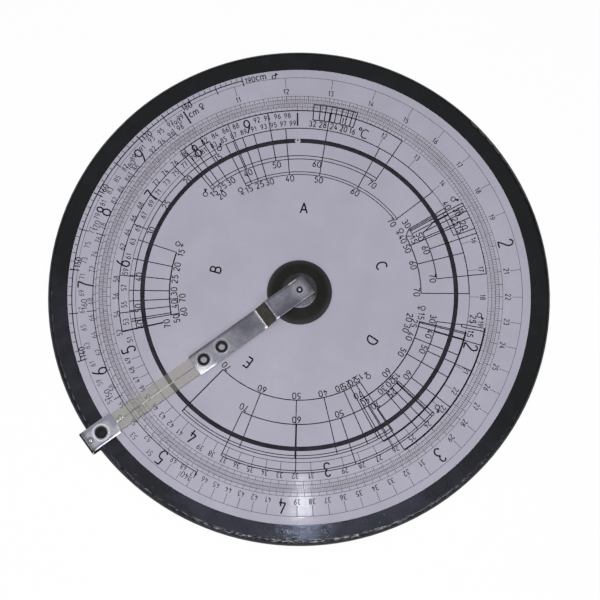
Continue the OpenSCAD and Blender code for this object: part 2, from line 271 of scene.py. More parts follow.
def newGroup(name, inputs, outputs):
    group = bpy.data.node_groups.new(name, "ShaderNodeTree")
    work["tree"] = group
    for label, value in inputs.items():
        socket = group.interface.new_socket(label, in_out="INPUT", socket_type="NodeSocketFloat")
        socket.default_value = value
    for label in outputs:
        group.interface.new_socket(label, in_out="OUTPUT", socket_type="NodeSocketFloat")
    return group, group.nodes.new("NodeGroupInput").outputs, group.nodes.new("NodeGroupOutput").inputs


def placeInMm():
    spot = put("TexCoord").outputs["Object"]
    return put("VectorMath", {0: spot, "Scale": 1 / mm}, operation="SCALE").outputs[0]


def placeAlong(turn):
    turned = put("VectorRotate", {"Vector": placeInMm(), "Angle": turn}, rotation_type="Z_AXIS")
    return put("SeparateXYZ", {0: turned.outputs[0]}).outputs


def mottleGroup():
    group, given, result = newGroup("mottle", {"Size": 5.0, "Soft": 0.2}, ("Value", "Fine"))
    spot = placeInMm()
    scale = calc("DIVIDE", 1.0, given["Size"])
    low = calc("SUBTRACT", 0.5, given["Soft"])
    high = calc("ADD", 0.5, given["Soft"])
    cloud = noise(spot, scale, 4.0, 0.55)
    grain = noise(spot, times(scale, 9.0), 2.0)
    join(rise(cloud, low, high), result["Value"])
    join(grain, result["Fine"])
    return group


def scratchLines(grid, result):
    lines = noise(grid.outputs[0], 1.0, 3.0, 0.7)
    join(lines, result["Height"])
    join(rise(lines, *scratchSpan), result["Mask"])


def ringScratchGroup():
    inputs = {"Fine": 3.0, "Reach": 4.0}
    group, given, result = newGroup("ringScratches", inputs, ("Height", "Mask", "Radius"))
    flat = vector("MULTIPLY", placeInMm(), (1, 1, 0))[0]
    radius = vector("LENGTH", flat)["Value"]
    way = vector("NORMALIZE", flat)[0]
    wide = put("VectorMath", {0: way, "Scale": given["Reach"]}, operation="SCALE")
    part = put("SeparateXYZ", {0: wide.outputs[0]}).outputs
    grid = put("CombineXYZ", {0: times(radius, given["Fine"]), 1: part[0], 2: part[1]})
    join(radius, result["Radius"])
    scratchLines(grid, result)
    return group


def longScratchGroup():
    inputs = {"Turn": 0.0, "Fine": 5.0, "Reach": 0.12}
    group, given, result = newGroup("longScratches", inputs, ("Height", "Mask"))
    part = placeAlong(given["Turn"])
    scales = (given["Reach"], given["Fine"], given["Fine"])
    grid = put("CombineXYZ", {i: times(part[i], scales[i]) for i in range(3)})
    scratchLines(grid, result)
    return group


def speckGroup():
    group, given, result = newGroup("specks", {"Size": 0.8, "Rare": 0.66}, ("Mask",))
    cloud = noise(placeInMm(), calc("DIVIDE", 1.0, given["Size"]), 1.0)
    top = calc("ADD", given["Rare"], 0.05)
    join(rise(cloud, given["Rare"], top), result["Mask"])
    return group


finishes = {
    "mottle": mottleGroup(), "ring": ringScratchGroup(), "long": longScratchGroup(), "speck": speckGroup(),
}


def newFinish(name):
    material = bpy.data.materials.new(name)
    material.use_nodes = True
    work["tree"] = material.node_tree
    return material, material.node_tree.nodes["Principled BSDF"]


def use(which, **values):
    node = work["tree"].nodes.new("ShaderNodeGroup")
    node.node_tree = finishes[which]
    for key, value in values.items():
        node.inputs[key].default_value = value
    return node.outputs


def mottle(size, soft):
    return use("mottle", Size=size, Soft=soft)


def rings(fine, reach):
    return use("ring", Fine=fine, Reach=reach)


def specks(size, rare):
    return use("speck", Size=size, Rare=rare)


def paint(shader, tone, rough, specular=None):
    join(tone, shader.inputs["Base Color"])
    join(rough, shader.inputs["Roughness"])
    if specular is not None:
        shader.inputs["Specular IOR Level"].default_value = specular


def dent(shader, height, depth):
    bump = put("Bump", {"Height": height, "Strength": 1.0, "Distance": depth * mm})
    join(bump.outputs[0], shader.inputs["Normal"])


def sheetFinish():
    tones = {"pale": (0.400, 0.389, 0.462), "dull": (0.358, 0.346, 0.411),
             "dirtAndShade": (0.335, 0.312, 0.34)}
    material, shader = newFinish("scaleSheet")
    cloud = mottle(16.0, 0.22)
    ring = rings(2.2, 9.0)
    tone = blendTone(cloud["Value"], tones["pale"], tones["dull"])
    tone = blendTone(span(cloud["Fine"], 0.0, 0.35, 0.35, 0.75), tone, tones["dull"])
    near = awayFrom(ring["Radius"], dialRadius["meet"])       # hand dirt gathers there
    dirtAndShade = times(span(near, 0.5, 0.0, 0.6, 4.5), cloud["Value"])
    tone = blendTone(dirtAndShade, tone, tones["dirtAndShade"])
    paint(shader, tone, span(ring["Mask"], 0.035, 0.065), 0.15)
    dent(shader, rings(0.9, 30.0)["Height"], 0.012)
    return material


def inkFinish():
    tones = {"full": (0.007, 0.0065, 0.010), "uneven": (0.017, 0.016, 0.023),
             "thin": (0.015, 0.014, 0.018), "thinner": (0.038, 0.036, 0.045)}
    material, shader = newFinish("printInk")
    cloud = mottle(3.0, 0.25)
    tone = blendTone(cloud["Value"], tones["full"], tones["uneven"])
    # the heavy ring is printed thinner, so paper shows through it
    near = awayFrom(rings(2.0, 8.0)["Radius"], dialRadius["heavyRing"])
    pale = blendTone(cloud["Value"], tones["thin"], tones["thinner"])
    tone = blendTone(fall(near, 0.85, 1.1), tone, pale)
    paint(shader, tone, span(cloud["Fine"], 0.45, 0.65, *grainSpan), 0.06)
    return material


def mouldingFinish():
    tones = {"black": (0.0045, 0.005, 0.0012), "brown": (0.007, 0.0072, 0.0022),
             "smear": (0.0085, 0.0095, 0.0085), "paintedHaze": (0.019, 0.0185, 0.0225),
             "worn": (0.21, 0.21, 0.225), "bare": (0.55, 0.55, 0.58), "sheen": (0.69, 0.73, 1.0)}
    rim = {"edge": 98.5, "rubbedGlint": (0.15, 0.8), "chips": (0.5, 0.68), "rough": (98.8, 99.7)}
    near = {"way": (-0.35, -0.94, 0), "paintedHaze": (20.0, 45.0), "worn": (-84.0, -45.0), "bare": (-96.0, -88.0)}
    material, shader = newFinish("blackMoulding")
    cloud = mottle(22.0, 0.2)
    ring = rings(1.8, 14.0)
    dust = specks(0.7, 0.72)
    smudge = mottle(8.0, 0.12)
    tone = blendTone(cloud["Value"], tones["black"], tones["brown"])
    tone = blendTone(span(smudge["Value"], 0.0, 0.6, 0.6, 1.0), tone, tones["smear"])
    # the near left side is lightened to a bluish haze, mottled by the smudges: a painted reflection
    toHand = vector("DOT_PRODUCT", placeInMm(), near["way"])["Value"]
    paintedHaze = times(rise(toHand, *near["paintedHaze"]), span(smudge["Value"], 0.4, 1.0))
    tone = blendTone(paintedHaze, tone, tones["paintedHaze"])
    # the rounded edge is rubbed in places, which is wear; the paler rub is kept to the near side as a
    # painted edge highlight, and there it goes down to painted bare glints
    edge = fall(awayFrom(ring["Radius"], rim["edge"]), *rim["rubbedGlint"])
    chips = rise(rings(2.2, 42.0)["Height"], *rim["chips"])
    rubAndSheen = times(edge, chips)
    depth = put("SeparateXYZ", {0: placeInMm()}).outputs["Y"]
    scuffAndGlint = calc("MAXIMUM", rubAndSheen, times(dust["Mask"], 0.3))
    # paler rub fading away from the near side: painted edge highlight
    scuffAndGlint = times(scuffAndGlint, span(depth, 1.0, 0.04, *near["worn"]))
    tone = blendTone(scuffAndGlint, tone, tones["worn"])
    # painted glints on the near edge
    bare = times(rubAndSheen, fall(depth, *near["bare"]))
    tone = blendTone(bare, tone, tones["bare"])
    rough = calc("ADD", span(ring["Mask"], 0.07, 0.11), times(scuffAndGlint, 0.25))
    rough = calc("ADD", rough, span(ring["Radius"], 0.0, 0.5, *rim["rough"]))
    paint(shader, tone, rough, 0.5)
    dent(shader, rings(0.8, 16.0)["Height"], 0.034)
    shader.inputs["Specular Tint"].default_value = (*tones["sheen"], 1)
    return material


def knobFinish():
    tones = {"black": (0.0135, 0.0145, 0.0132), "brown": (0.0205, 0.020, 0.0185),
             "dust": (0.09, 0.09, 0.09), "worn": (0.047, 0.047, 0.051)}
    material, shader = newFinish("blackKnob")
    cloud = mottle(6.0, 0.2)
    ring = rings(3.5, 5.0)
    dust = specks(0.5, 0.7)
    tone = blendTone(cloud["Value"], tones["black"], tones["brown"])
    tone = blendTone(times(dust["Mask"], 0.5), tone, tones["dust"])
    rubAndSheen = times(rise(ring["Radius"], 10.6, 12.6), span(cloud["Value"], 0.5, 1.0))
    tone = blendTone(rubAndSheen, tone, tones["worn"])       # its edge is paler: partly worn by hands, partly a painted highlight on the rounded edge
    paint(shader, tone, span(ring["Mask"], 0.4, 0.55), 0.04)
    dent(shader, ring["Height"], 0.003)
    return material


def filmMask(share, *ramps):
    # each ramp: along X or Y of the cursor or away from a point on its axis, none there, full there
    spot = placeAlong(-cursorTurn)
    mask = share
    for way, none, full in ramps:
        if way in ("X", "Y"):
            reach = spot[way]
        else:
            flat = put("CombineXYZ", {0: spot["X"], 1: spot["Y"]}).outputs[0]
            reach = vector("DISTANCE", flat, (way, 0, 0))["Value"]
        mask = times(rise(reach, none, full), mask)
    return mask


def metalFinish(name, bright, dull, rough, turn=None, size=3.0, depth=0.0006, paintedLight=(), paintedGlints=()):
    material, shader = newFinish(name)
    cloud = mottle(size, 0.3)
    patch = mottle(size * 0.42, 0.16)
    dust = specks(0.52, 0.72)
    if turn is None:
        marks = rings(5.0, 3.0)
    else:
        marks = use("long", Turn=turn, Fine=4.5, Reach=0.3)
    clean, worn = (1, 1, 1), [d / b for b, d in zip(bright, dull)]
    shade = blendTone(cloud["Value"], clean, worn)
    shade = blendTone(times(marks["Mask"], 0.4), shade, clean)
    shade = blendTone(span(cloud["Fine"], 0.0, 0.5, 0.5, 0.75), shade, worn)
    shade = blendTone(times(patch["Value"], 0.35), shade, worn)
    tone = bright
    # painted light and shade: the tone is made lighter or darker in places to stand for reflections
    for tint, *lightRamps in paintedLight:
        tone = blendTone(filmMask(*lightRamps), tone, tint)
    tone = blendTone(1.0, tone, shade, "MULTIPLY")
    tone = blendTone(times(dust["Mask"], 0.45), tone, (0.82, 0.82, 0.84))
    whole = 1.0
    shader.inputs["Metallic"].default_value = whole
    for tint, *lightRamps in paintedGlints:       # painted highlights: pale matt patches where the metal glints
        rubbedGlint = filmMask(*lightRamps)
        tone = blendTone(rubbedGlint, tone, tint)
        whole = times(whole, span(rubbedGlint, 1.0, 0.0))
        join(whole, shader.inputs["Metallic"])
    uneven = span(cloud["Fine"], -0.012, 0.016, *grainSpan)
    paint(shader, tone, calc("ADD", span(marks["Mask"], *rough), uneven))
    dent(shader, marks["Height"], depth)
    return material


eyeletWear = {"ragged": 0.06, "edge": (2.40, 2.52), "lip": 0.12, "polish": (1.6, 2.2)}


def eyeletFinish(node, bore):
    tones = {"black": (0.010, 0.010, 0.011), "brown": (0.022, 0.021, 0.021),
             "bright": (0.95, 0.94, 0.95), "grey": (0.55, 0.55, 0.58)}
    low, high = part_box(node)
    centre = (low + high) / 2 / mm
    material, shader = newFinish("blackened_" + node)
    cloud = mottle(1.2, 0.25)
    offset = vector("SUBTRACT", placeInMm(), (centre.x, centre.y, 0))[0]
    flat = vector("MULTIPLY", offset, (1, 1, 0))[0]
    reach = vector("LENGTH", flat)["Value"]
    ragged = span(cloud["Value"], -eyeletWear["ragged"], eyeletWear["ragged"])
    uneven = calc("ADD", reach, ragged)
    # the outer edge and the lip are rubbed bright
    outer = rise(uneven, *eyeletWear["edge"])
    lip = fall(uneven, bore, bore + eyeletWear["lip"])
    bare = calc("MAXIMUM", outer, lip)
    black = blendTone(cloud["Value"], tones["black"], tones["brown"])
    polish = rise(reach, *eyeletWear["polish"])
    metal = blendTone(polish, tones["bright"], tones["grey"])
    rough = span(cloud["Fine"], 0.22, 0.38, *grainSpan)
    paint(shader, blendTone(bare, black, metal), rough, 0.2)
    join(bare, shader.inputs["Metallic"])
    return material


def plainFinish(name, size, soft, first, second, rough, depth=None):
    material, shader = newFinish(name)
    cloud = mottle(size, soft)
    tone = blendTone(cloud["Value"], first, second)
    paint(shader, tone, span(cloud["Fine"], *rough, *grainSpan))
    if depth:
        dent(shader, cloud["Fine"], depth)
    return material


def stripFinish():
    tones = {"yellow": (0.765, 0.735, 0.675), "dull": (0.72, 0.71, 0.66), "far": (0.725, 0.73, 0.65),
             "dirtAndShade": (0.25, 0.24, 0.20), "shadow": (0.955, 0.95, 0.915)}
    material, shader = newFinish("yellowedStrip")
    marks = use("long", Turn=-cursorTurn, Fine=3.0, Reach=0.12)
    cloud = mottle(14.0, 0.14)
    far = rise(placeAlong(-cursorTurn)["X"], 52.0, 84.0)
    tone = blendTone(cloud["Value"], tones["yellow"], tones["dull"])
    tone = blendTone(far, tone, tones["far"])
    tone = blendTone(filmMask(0.75, ("Y", 3.5, 3.8)), tone, tones["dirtAndShade"])       # a painted dark line along one edge: shade on the strip's side
    paint(shader, tone, span(marks["Mask"], 0.01, 0.03))
    dent(shader, marks["Height"], 0.0001)
    shader.inputs["IOR"].default_value = 1.49
    shader.inputs["Transmission Weight"].default_value = 0.934       # the rest is haze
    inShadow = put("LightPath").outputs["Is Shadow Ray"]
    clear = put("BsdfTransparent", {"Color": tones["shadow"]})
    either = mixShader(inShadow, shader, clear)
    join(either.outputs[0], material.node_tree.nodes["Material Output"].inputs["Surface"])
    return material


def hairFinish():
    material, shader = newFinish("engravedLine")
    cloud = mottle(2.0, 0.2)
    along = placeAlong(-cursorTurn)["X"]
    # its dark filling is lost on two stretches, which are painted white as the glint of the bare groove
    bare = times(rise(along, 60.4, 61.4), fall(along, 76.0, 77.2))
    bare = calc("MAXIMUM", bare, rise(along, 84.6, 85.2))
    bare = times(bare, span(cloud["Value"], 0.6, 1.0))
    tone = blendTone(bare, (0.05, 0.045, 0.045), (0.95, 0.95, 0.95))
    paint(shader, tone, span(cloud["Fine"], 0.35, 0.6, *grainSpan))
    return material


# painted light and shade on the metal: tone, share and ramps

armPaintedLight = [
    ((0.245, 0.24, 0.285), 0.9, ("Y", 0.5, 3.0), ("X", 1.0, 3.5), ("X", 14.5, 13.4)),
    ((0.51, 0.50, 0.585), 0.9, ("Y", 0.0, -1.6), ("X", 3.0, 5.0), ("X", 14.5, 12.0)),
    ((0.70, 0.69, 0.76), 0.9, (0.0, 4.4, 2.0)),
    ((0.345, 0.34, 0.395), 0.9, ("X", 20.4, 22.0), ("X", 31.0, 27.0)),
    ((0.68, 0.67, 0.745), 0.95, ("X", 27.0, 38.0)),
    ((0.51, 0.50, 0.565), 0.8, ("Y", 0.4, 3.4), ("X", 18.5, 20.0), ("X", 36.0, 31.0)),
    ((0.25, 0.245, 0.285), 0.8, ("Y", -3.0, -3.8)),
    ((1.0, 1.0, 0.96), 1.0, ("Y", -3.75, -3.95), ("X", -1.5, -0.8), ("X", 2.8, 2.1)),
    ((0.98, 0.97, 1.0), 1.0, ("X", 42.5, 44.0), ("Y", 3.7, 4.0)),
    ((0.95, 0.94, 0.97), 0.85, (37.9, 3.6, 3.05)),
    ((0.95, 0.94, 0.97), 0.85, (46.6, 3.6, 3.05)),
    ((0.18, 0.175, 0.19), 1.0, ("X", -2.0, -4.6), ("Y", 4.6, 2.4)),
    ((0.40, 0.39, 0.45), 1.0, ("X", 12.7, 13.2), ("X", 15.2, 14.6)),
    ((0.62, 0.56, 0.49), 0.9, ("X", 14.2, 15.0), ("X", 18.4, 17.8)),
    ((0.72, 0.70, 0.70), 1.0, ("X", 18.4, 18.8), ("X", 19.7, 19.2)),
]
# painted glints: the rolled corner and the ends of the two bends
armPaintedGlints = [
    ((0.97, 0.97, 1.0), 0.95, ("X", 43.5, 50.5), ("Y", -1.0, 4.0)),
    ((0.97, 0.97, 1.0), 0.9, ("X", 18.2, 18.8), ("X", 20.0, 19.4), ("Y", 3.2, 4.0)),
    ((0.97, 0.97, 1.0), 0.8, ("X", 12.4, 13.0), ("X", 14.6, 14.0), ("Y", 3.6, 4.2)),
]
# painted glint ring round the eyelet, and painted light and shade on the clip
clipPaintedGlint = [((0.93, 0.93, 1.0), 0.45, (95.8, 3.75, 3.2))]
clipPaintedLight = [
    ((0.58, 0.58, 0.66), 0.9, ("Y", -2.2, -3.4)),
    ((0.62, 0.62, 0.72), 0.9, ("X", 92.2, 90.2), ("Y", 2.0, 0.4)),
    ((0.40, 0.40, 0.46), 0.9, ("Y", 3.0, 3.7), ("X", 91.5, 93.0)),
    ((0.97, 0.97, 1.0), 0.9, (95.8, 3.8, 3.1)),
    ((0.05, 0.048, 0.045), 1.0, ("X", 100.9, 102.9)),
    ((0.36, 0.36, 0.41), 0.8, (100.9, 1.6, 1.15)),
]
# painted shade on the washer under the arm, and a painted bright arc on its rim
washerPaintedLight = [
    ((0.10, 0.097, 0.10), 1.0, ("Y", 2.0, -1.0)),
    ((0.14, 0.135, 0.142), 1.0, ("X", -1.2, -4.0)),
    ((0.80, 0.80, 0.84), 0.6, ("Y", 1.5, 3.5), ("X", -1.5, 1.5), (0.0, 6.3, 6.6)),
]
# a painted glint on the top of the dark stud
studPaintedGlint = [((0.97, 0.96, 0.97), 1.0, (0.0, 0.65, 0.45))]

armMaterial = metalFinish("nickelledArm", (0.41, 0.405, 0.47), (0.24, 0.235, 0.275), (0.245, 0.27),
                          -cursorTurn, 3.2, 0.0002, armPaintedLight, armPaintedGlints)
clipMaterial = metalFinish("brightClip", (1.0, 0.99, 1.0), (0.78, 0.78, 0.86), (0.17, 0.26),
                           -cursorTurn, 2.4, 0.0002, clipPaintedLight, clipPaintedGlint)
steelMaterial = metalFinish("turnedSteel", (0.50, 0.50, 0.52), (0.38, 0.375, 0.38), (0.2, 0.32), size=2.5)
sheetMaterial = sheetFinish()
stripMaterial = stripFinish()
inkMaterial = inkFinish()
# white flecks on the hair line: painted glints
fleckGlintMaterial = plainFinish("paintedGlintFleck", 0.6, 0.2, (0.93, 0.93, 0.93), (0.80, 0.80, 0.78), (0.4, 0.6))

coats = {
    "base_disc": mouldingFinish(),
    "outer_scale_ring": sheetMaterial,
    "inner_scale_sheet": sheetMaterial,
    "hub_knob": knobFinish(),
    "pivot_stud": metalFinish("darkStud", (0.11, 0.11, 0.12), (0.075, 0.073, 0.075), (0.14, 0.2),
                              size=2.0, paintedLight=studPaintedGlint),
    "hub_washer": metalFinish("dullWasher", (0.46, 0.455, 0.49), (0.22, 0.22, 0.245), (0.2, 0.34),
                              size=4.0, paintedLight=washerPaintedLight),
    "guide_pin": metalFinish("dullPin", (0.90, 0.89, 0.91), (0.66, 0.655, 0.66), (0.1, 0.16), size=1.0),
    "dial_carrier": metalFinish("carrierPlate", (0.62, 0.62, 0.64), (0.52, 0.52, 0.53), (0.35, 0.5),
                                0.4, 8.0),
    "hub_bush": metalFinish("turnedBrass", (0.72, 0.53, 0.26), (0.55, 0.39, 0.18), (0.22, 0.36)),
    "friction_washer": plainFinish("redFibre", 1.5, 0.25, (0.30, 0.12, 0.065), (0.20, 0.085, 0.05),
                                   (0.7, 0.9), 0.02),
    "cursor_arm": armMaterial,
    "end_clip": clipMaterial,
    "cursor_strip": stripMaterial,
}
for name in ("stud_washer", "stud_nut", "spring_washer", "knob_screws"):
    coats[name] = steelMaterial
for name, bore in (("inner_eyelet", 1.15), ("outer_eyelet", 1.15), ("clip_eyelet", 0.0)):
    coats[name] = eyeletFinish(name, bore)
for name, coat in coats.items():
    for place in solids[name].material_slots:
        place.material = coat
for name, edge in (("hub_washer", 0.25), ("spring_washer", 0.06)):       # turned edges are broken
    soft = solids[name].modifiers.new("softEdge", "BEVEL")
    soft.width = edge * mm
    soft.segments = 3
    soft.limit_method = "ANGLE"
    soft.angle_limit = edgeAngle
print("finishes given to", len(coats), "solids")


# strokes of the printed dial, in millimetres, angles clockwise from the top

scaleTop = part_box("outer_scale_ring")[1].z
inkLine = {"tick": 0.115, "mark": 0.17, "plain": 0.37, "flat": 0.18}
arcStep = 2.0       # degrees


def polar(r, angle):
    a = math.radians(angle)
    return (r * math.sin(a), r * math.cos(a))


def arc(r, start, end, width):
    count = max(2, math.ceil((end - start) / arcStep))
    return ([polar(r, start + (end - start) * i / count) for i in range(count + 1)], width)


def circle(r, width):
    points = [polar(r, i * arcStep) for i in range(round(360 / arcStep))]
    return (points + points[:1], width)


def spoke(angle, r0, r1, width=inkLine["plain"]):
    return ([polar(r0, angle), polar(r1, angle)], width)


def line(first, second, width=inkLine["plain"]):
    return ([polar(first[1], first[0]), polar(second[1], second[0])], width)


def bow(x, y, rx, ry, start, end, parts):
    turn = [math.radians(start + (end - start) * i / parts) for i in range(parts + 1)]
    return [(x + rx * math.cos(a), y + ry * math.sin(a)) for a in turn]


def loop(x, y, rx, ry, parts=10):
    points = bow(x, y, rx, ry, 90, 450, parts)
    return points[:-1] + points[:1]


# each figure: its width and its strokes, for a height of 1
stem = [(0.0, 0.0), (0.0, 1.0)]
sixStem = [(0.44, 1.0), (0.27, 0.80), (0.12, 0.56), (0.03, 0.32)]
figures = {
    "0": (0.56, [bow(0.28, 0.70, 0.28, 0.30, 0, 180, 5)
                 + bow(0.28, 0.30, 0.28, 0.30, 180, 360, 5) + [(0.56, 0.70)]]),
    "1": (0.34, [[(0.04, 0.76), (0.26, 1.0)], [(0.26, 1.0), (0.26, 0.0)]]),
    "2": (0.56, [bow(0.28, 0.72, 0.26, 0.28, 165, -35, 6) + [(0.03, 0.02)], [(0.0, 0.0), (0.56, 0.0)]]),
    "3": (0.54, [bow(0.26, 0.77, 0.23, 0.23, 155, -90, 6), bow(0.26, 0.27, 0.27, 0.27, 90, -155, 7)]),
    "4": (0.56, [[(0.34, 1.0), (0.02, 0.28)], [(0.02, 0.28), (0.56, 0.28)], [(0.41, 0.52), (0.41, 0.0)]]),
    "5": (0.54, [[(0.50, 1.0), (0.10, 1.0)], [(0.10, 1.0), (0.07, 0.55)],
                 bow(0.25, 0.31, 0.29, 0.31, 128, -148, 7)]),
    "6": (0.56, [sixStem, loop(0.28, 0.28, 0.26, 0.28)]),
    "7": (0.54, [[(0.0, 1.0), (0.54, 1.0)], [(0.54, 1.0), (0.30, 0.50), (0.20, 0.0)]]),
    "8": (0.56, [loop(0.28, 0.77, 0.21, 0.22, 8), loop(0.28, 0.28, 0.27, 0.28)]),
    "9": (0.56, [[(0.56 - x, 1.0 - y) for x, y in sixStem], loop(0.28, 0.72, 0.26, 0.28)]),
    "A": (0.72, [[(0.0, 0.0), (0.36, 1.0)], [(0.36, 1.0), (0.72, 0.0)], [(0.13, 0.33), (0.59, 0.33)]]),
    "B": (0.60, [stem, [(0.0, 1.0)] + bow(0.26, 0.76, 0.26, 0.24, 90, -90, 6) + [(0.0, 0.52)],
                 [(0.26, 0.52)] + bow(0.30, 0.26, 0.30, 0.26, 90, -90, 6) + [(0.0, 0.0)]]),
    "C": (0.66, [bow(0.40, 0.5, 0.40, 0.5, 48, 312, 10)]),
    "D": (0.66, [stem, [(0.0, 1.0)] + bow(0.22, 0.5, 0.44, 0.5, 90, -90, 8) + [(0.0, 0.0)]]),
    "E": (0.54, [stem, [(0.0, 1.0), (0.54, 1.0)], [(0.0, 0.52), (0.46, 0.52)], [(0.0, 0.0), (0.54, 0.0)]]),
    "c": (0.44, [bow(0.26, 0.32, 0.26, 0.32, 50, 310, 7)]),
    "m": (0.72, [[(0.0, 0.0), (0.0, 0.64)],
                 [(0.0, 0.44), (0.12, 0.62), (0.28, 0.60), (0.36, 0.44), (0.36, 0.0)],
                 [(0.36, 0.44), (0.48, 0.62), (0.64, 0.60), (0.72, 0.44), (0.72, 0.0)]]),
    "deg": (0.30, [loop(0.14, 0.86, 0.14, 0.14, 8)]),
    "man": (0.90, [loop(0.28, 0.28, 0.27, 0.27), [(0.46, 0.48), (0.72, 0.76)]]),
    "woman": (0.56, [loop(0.28, 0.72, 0.26, 0.26), [(0.28, 0.46), (0.28, 0.0)],
                     [(0.04, 0.22), (0.52, 0.22)]]),
}


def label(text, angle, r, height, width, wide=1.0, gap=0.24):
    names = text if isinstance(text, tuple) else tuple(text)
    total = sum(figures[n][0] * wide for n in names) + gap * (len(names) - 1)
    outX, outY = polar(1.0, angle)
    x0 = -total / 2
    strokes = []
    for name in names:
        for points in figures[name][1]:
            local = [((x0 + x * wide) * height, r + (y - 0.5) * height) for x, y in points]
            strokes.append(([(outX * v + outY * u, outY * v - outX * u) for u, v in local], width))
        x0 += figures[name][0] * wide + gap
    return strokes


def genderSign(which, angle, r, height=3.4, width=0.36, spear=3.4):
    strokes = label((which,), angle, r, height, width)
    if which == "man":       # the spear widens to its tip
        strokes[-1] = (strokes[-1][0], (width, width * spear))
    return strokes


def printStrokes(name, body, strokes):
    curve = bpy.data.curves.new(name, "CURVE")
    curve.dimensions = "3D"
    curve.twist_mode = "Z_UP"
    curve.bevel_depth = 1.0
    curve.bevel_resolution = 0
    curve.use_fill_caps = True
    for points, width in strokes:
        closed = len(points) > 3 and math.dist(points[0], points[-1]) < slack
        points = points[:-1] if closed else points
        widths = width if isinstance(width, tuple) else (width,) * len(points)
        spline = curve.splines.new("POLY")
        spline.points.add(len(points) - 1)
        for knot, (x, y), w in zip(spline.points, points, widths):
            knot.co = (x * mm, y * mm, 0, 1)
            knot.radius = w / 2 * mm
        spline.use_cyclic_u = closed
    piece = bpy.data.objects.new(name, curve)
    bpy.context.scene.collection.objects.link(piece)
    deselect()
    piece.select_set(True)
    bpy.context.view_layer.objects.active = piece
    bpy.ops.object.convert(target="MESH")
    toMode("EDIT")
    selectAll()
    bpy.ops.mesh.remove_doubles(threshold=2 * slack)
    bpy.ops.mesh.normals_make_consistent(inside=False)
    toMode("OBJECT")
    piece.scale.z = inkLine["flat"]
    piece.location.z = scaleTop
    bpy.ops.object.transform_apply(location=True, rotation=True, scale=True)
    piece.data.materials.clear()
    piece.data.materials.append(inkMaterial)
    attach(piece, body)


# the two log scales

outerScale = {
    "index": 327.8, "edge": 78.3, "short": 79.7, "middle": 81.0, "row": 83.1, "oddRow": 86.6, "bigRow": 85.0,
    "guide": (84.6, 88.8), "circles": (79.6, 81.0, 88.8), "inks": (0.14, 0.14, 0.155),
    "bigHeight": 5.9, "press": 0.97, "wear": 0.30,
}
innerScale = {
    "index": 359.4, "edge": 77.9, "short": 76.5, "middle": 75.2, "row": 73.0, "oddRow": 69.7, "bigRow": 71.3,
    "guide": (71.6, 67.5), "circles": (76.5, 75.1, 67.7), "inks": (0.14, 0.14, 0.20),
    "bigHeight": 5.4, "press": 0.82, "wear": 0.08,
}
# from, to, steps in one, steps to a longer line
scaleSteps = ((1, 2, 200, 2), (2, 5, 100, 5), (5, 10, 50, 5))
finest = {"apart": 0.5, "most": 1.15}       # steps that lie closer, in degrees, are drawn finer
smallFigure = {"height": 2.05, "width": 0.31, "wide": 0.82}
bigFigure = {"width": 0.60, "wide": 0.80}
indexWidth = 0.62
thumbAngle = 250       # where handling has thinned the small figures


def angleOn(scale, value):
    return scale["index"] + 360 * math.log10(value)


def graduations(scale):
    strokes = [circle(r, ink) for r, ink in zip(scale["circles"], scale["inks"])]
    for low, high, perUnit, longer in scaleSteps:
        for i in range(low * perUnit, high * perUnit):
            major = i % (perUnit // 20) == 0 if perUnit >= 100 else i % 5 == 0
            end = scale["middle"] if i % longer == 0 else scale["short"]
            apart = 360 * math.log10((i + 1) / i)
            thin = scale["press"] * min(finest["most"], apart / finest["apart"])
            width = (inkLine["mark"] if major else inkLine["tick"]) * thin
            strokes.append(spoke(angleOn(scale, i / perUnit), scale["edge"], end, width))
    for i in range(505, 1000, 10):       # the halves that these steps leave out
        strokes.append(spoke(angleOn(scale, i / 100), scale["edge"], scale["short"], inkLine["tick"]))
    for i in range(11, 50):       # guide lines through the figures
        if i % 10:
            strokes.append(spoke(angleOn(scale, i / 10), *scale["guide"], inkLine["mark"]))
    return strokes


def scaleFigures(scale):
    strokes = []
    bigRow, bigHeight = scale["bigRow"], scale["bigHeight"]
    for i in range(10, 100):
        angle = angleOn(scale, i / 10)
        if i == 10:
            strokes.append(spoke(angle, bigRow - bigHeight / 2, bigRow + bigHeight / 2, indexWidth))
        elif i % 10 == 0:
            strokes += label(str(i // 10), angle, bigRow, bigHeight, **bigFigure)
        else:
            row = scale["oddRow"] if i > 50 and i % 2 else scale["row"]
            fresh = 1 - scale["wear"] * max(0, math.cos(math.radians(angle - thumbAngle)))
            width = smallFigure["width"] * fresh
            strokes += label(str(i), angle, row, smallFigure["height"], width, smallFigure["wide"])
    return strokes


printStrokes("outer_graduations", "base", graduations(outerScale))
printStrokes("outer_figures", "base", scaleFigures(outerScale))
printStrokes("inner_graduations", "inner_dial", graduations(innerScale))
printStrokes("inner_figures", "inner_dial", scaleFigures(innerScale))
print("log scales printed")


# body height arcs on the outer scale: the angle follows the log of height above a base value
# "moved": lead and row of figures that stand elsewhere
# "unit": angle and row of the unit, row and lead of the sign after it

heightRange = (140, 190)
heightLabel = {"height": 2.2, "wide": 0.9}
unitLabel = {"height": 2.8, "width": 0.40}
signLabel = {"height": 2.9, "width": 0.40}
womanHeights = {
    "zero": 93.0, "start": 209.3, "arc": 82.0, "tick": 80.8, "major": (81.1, 84.6),
    "row": 85.5, "lead": 1.95, "moved": {},
    "unit": (329.9, 85.6, 86.0, 2.8), "ink": 0.33, "tickInk": 0.17, "figureInk": 0.28,
}
manHeights = {
    "zero": 78.4, "start": 252.3, "arc": 90.35, "tick": 91.8, "major": (88.0, 91.8),
    "row": 88.95, "lead": 1.95, "moved": {180: (-1.3, 88.95), 190: (1.9, 90.0)},
    "unit": (350.0, 90.6, 90.2, 3.7), "ink": 0.42, "tickInk": 0.24, "figureInk": 0.36,
}


